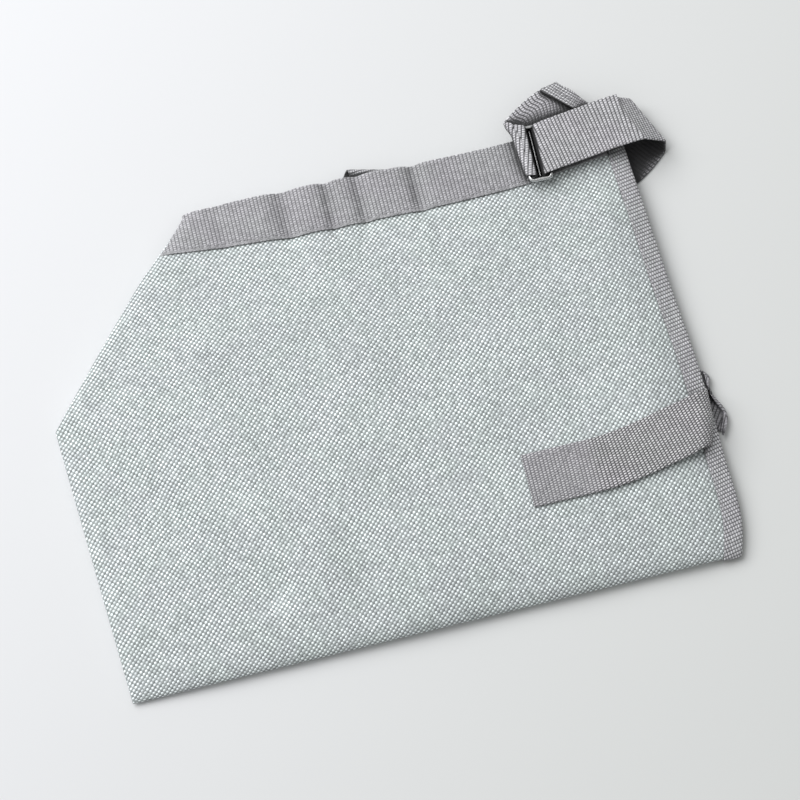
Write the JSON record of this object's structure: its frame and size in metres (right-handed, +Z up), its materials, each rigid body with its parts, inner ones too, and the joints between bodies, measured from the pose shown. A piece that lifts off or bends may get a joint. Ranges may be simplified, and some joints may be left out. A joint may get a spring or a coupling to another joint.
{
  "type": "dog travel bag",
  "caption": "Soft canvas travel bag for a small dog, folded flat and lying on its back, with a webbing band at the mouth, a bound open end, a closing strap and a shoulder strap with a slider.",
  "frame": {"origin": "on the table, under the middle of the folded bag's box", "axes": "+X along the bottom fold towards the open end, +Y from the fold to the mouth, +Z up from the table"},
  "size_m": [0.386, 0.3012, 0.0241],
  "materials": {
    "canvas": "coarse woven canvas, pale grey-green",
    "webbing": "ribbed woven webbing, grey",
    "tape": "ribbed woven tape, light grey",
    "metal": "polished"
  },
  "bodies": {
    "root": {"canvas_body": "canvas", "mouth_band": "webbing", "end_binding": "tape", "closing_strap": "webbing", "shoulder_strap": "webbing", "slider": "metal"}
  },
  "joints": []
}
